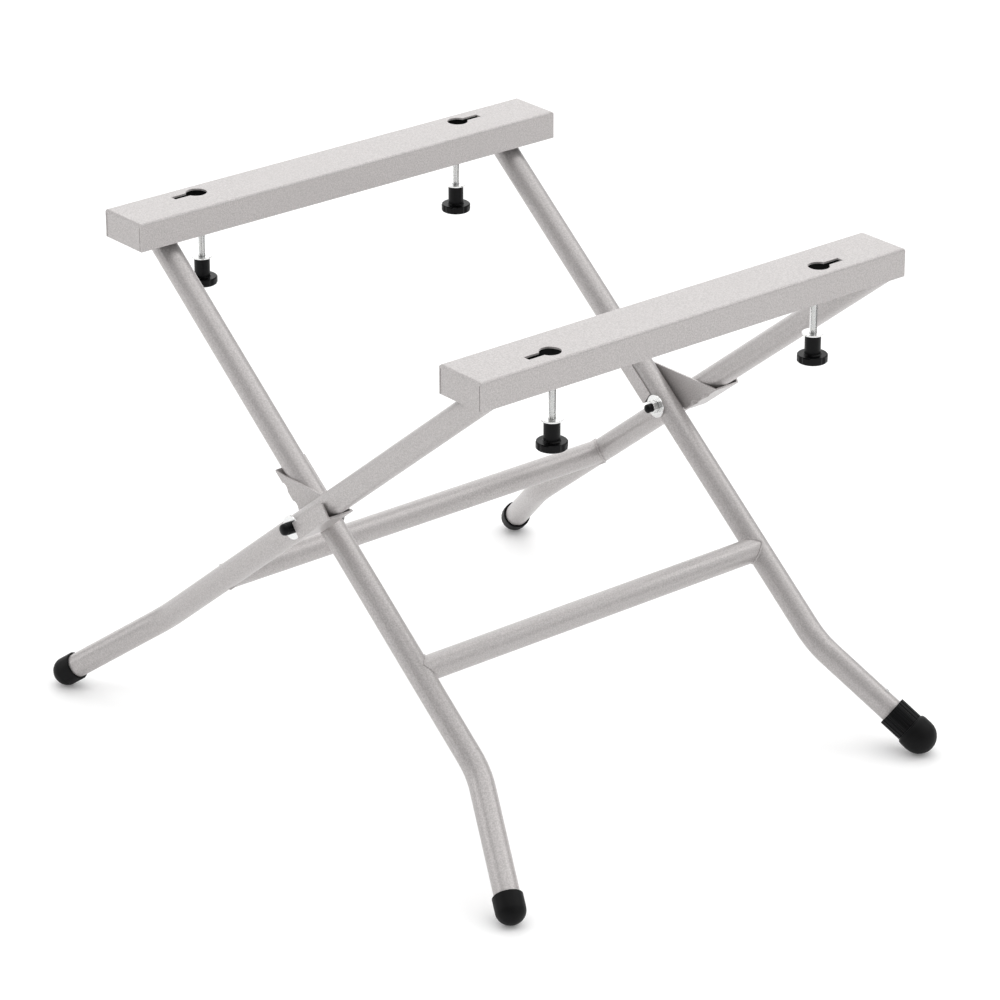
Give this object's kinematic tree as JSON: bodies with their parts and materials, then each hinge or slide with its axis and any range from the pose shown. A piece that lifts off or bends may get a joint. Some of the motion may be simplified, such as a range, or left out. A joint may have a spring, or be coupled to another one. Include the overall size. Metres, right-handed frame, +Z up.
{
  "type": "folding saw stand",
  "caption": "Folding stand for a bench saw: two keyholed channel rails on crossed tube legs with stop brackets, clamping knobs and a screw-adjusted foot.",
  "frame": {"origin": "on the floor, under the middle of the pivot axis, with the stand open", "axes": "+X across the stand from the inner frame's rail to the outer frame's rail, +Y along the rails towards the adjustable foot's end, +Z up"},
  "size_m": [0.7816, 0.7014, 0.585],
  "materials": {
    "frame_paint": "pale silver-grey powder coat, satin, fine grain",
    "zinc_steel": "bright zinc plate",
    "black_plastic": "moulded, satin",
    "black_rubber": "moulded, dull"
  },
  "bodies": {
    "inner_frame": {"rail_left": "frame_paint", "leg_inner_front": "frame_paint", "leg_inner_rear": "frame_paint", "crossbar_inner": "frame_paint", "foot_cap_inner_front": "black_rubber", "foot_plug": "black_plastic", "foot_rivet": "zinc_steel", "clamp_bridge_left_front": "frame_paint", "clamp_nut_left_front": "zinc_steel", "clamp_bridge_left_rear": "frame_paint", "clamp_nut_left_rear": "zinc_steel"},
    "outer_frame": {"rail_right": "frame_paint", "leg_outer_front": "frame_paint", "leg_outer_rear": "frame_paint", "crossbar_outer": "frame_paint", "foot_cap_outer_front": "black_rubber", "foot_cap_outer_rear": "black_rubber", "bracket_front": "frame_paint", "bracket_rear": "frame_paint", "clamp_bridge_right_front": "frame_paint", "clamp_nut_right_front": "zinc_steel", "pivot_bolt_front": "zinc_steel", "pivot_washer_outer_front": "zinc_steel", "pivot_washer_inner_front": "zinc_steel", "pivot_nut_front": "zinc_steel", "bolt_head_cap_front": "black_plastic", "bolt_end_cap_front": "black_plastic", "clamp_bridge_right_rear": "frame_paint", "clamp_nut_right_rear": "zinc_steel", "pivot_bolt_rear": "zinc_steel", "pivot_washer_outer_rear": "zinc_steel", "pivot_washer_inner_rear": "zinc_steel", "pivot_nut_rear": "zinc_steel", "bolt_head_cap_rear": "black_plastic", "bolt_end_cap_rear": "black_plastic"},
    "foot_pad": {"foot_pad": "black_rubber"},
    "foot_screw": {"foot_collar": "black_plastic", "foot_stud": "zinc_steel"},
    "clamp_washer_left_front": {"clamp_washer_left_front": "zinc_steel"},
    "clamp_knob_left_front": {"clamp_knob_left_front": "black_plastic", "clamp_screw_left_front": "zinc_steel"},
    "clamp_washer_left_rear": {"clamp_washer_left_rear": "zinc_steel"},
    "clamp_knob_left_rear": {"clamp_knob_left_rear": "black_plastic", "clamp_screw_left_rear": "zinc_steel"},
    "clamp_washer_right_front": {"clamp_washer_right_front": "zinc_steel"},
    "clamp_knob_right_front": {"clamp_knob_right_front": "black_plastic", "clamp_screw_right_front": "zinc_steel"},
    "clamp_washer_right_rear": {"clamp_washer_right_rear": "zinc_steel"},
    "clamp_knob_right_rear": {"clamp_knob_right_rear": "black_plastic", "clamp_screw_right_rear": "zinc_steel"}
  },
  "joints": [
    {"name": "fold", "type": "hinge", "parent": "inner_frame", "child": "outer_frame", "pos_m": [0, 0, 0.3153], "axis": [0, -1, 0], "range_deg": [0, 85]},
    {"name": "foot_level", "type": "slide", "parent": "inner_frame", "child": "foot_pad", "axis": [0.7343, 0.3432, -0.5857], "range_m": [0, 0.012]},
    {"name": "foot_turn", "type": "hinge", "parent": "foot_pad", "child": "foot_screw", "pos_m": [0.36984, 0.29594, 0.0203], "axis": [0.7343, 0.3432, -0.5857], "range_deg": [0, 2881]},
    {"name": "clamp_lift_left_front", "type": "slide", "parent": "inner_frame", "child": "clamp_washer_left_front", "axis": [0, 0, 1], "range_m": [-0.008, 0.044]},
    {"name": "clamp_turn_left_front", "type": "hinge", "parent": "clamp_washer_left_front", "child": "clamp_knob_left_front", "pos_m": [-0.2994, -0.1815, 0.5], "axis": [0, 0, 1], "range_deg": [-2305, 12673]},
    {"name": "clamp_lift_left_rear", "type": "slide", "parent": "inner_frame", "child": "clamp_washer_left_rear", "axis": [0, 0, 1], "range_m": [-0.008, 0.044]},
    {"name": "clamp_turn_left_rear", "type": "hinge", "parent": "clamp_washer_left_rear", "child": "clamp_knob_left_rear", "pos_m": [-0.2994, 0.1815, 0.5], "axis": [0, 0, 1], "range_deg": [-2305, 12673]},
    {"name": "clamp_lift_right_front", "type": "slide", "parent": "outer_frame", "child": "clamp_washer_right_front", "axis": [0, 0, 1], "range_m": [-0.008, 0.044]},
    {"name": "clamp_turn_right_front", "type": "hinge", "parent": "clamp_washer_right_front", "child": "clamp_knob_right_front", "pos_m": [0.2994, -0.1815, 0.5], "axis": [0, 0, 1], "range_deg": [-2305, 12673]},
    {"name": "clamp_lift_right_rear", "type": "slide", "parent": "outer_frame", "child": "clamp_washer_right_rear", "axis": [0, 0, 1], "range_m": [-0.008, 0.044]},
    {"name": "clamp_turn_right_rear", "type": "hinge", "parent": "clamp_washer_right_rear", "child": "clamp_knob_right_rear", "pos_m": [0.2994, 0.1815, 0.5], "axis": [0, 0, 1], "range_deg": [-2305, 12673]}
  ],
  "couplings": [
    {"joint": "foot_turn", "follows": "foot_level", "rad_per_m": 4188.8},
    {"joint": "clamp_turn_left_front", "follows": "clamp_lift_left_front", "rad_per_m": 5026.5},
    {"joint": "clamp_turn_left_rear", "follows": "clamp_lift_left_rear", "rad_per_m": 5026.5},
    {"joint": "clamp_turn_right_front", "follows": "clamp_lift_right_front", "rad_per_m": 5026.5},
    {"joint": "clamp_turn_right_rear", "follows": "clamp_lift_right_rear", "rad_per_m": 5026.5}
  ]
}
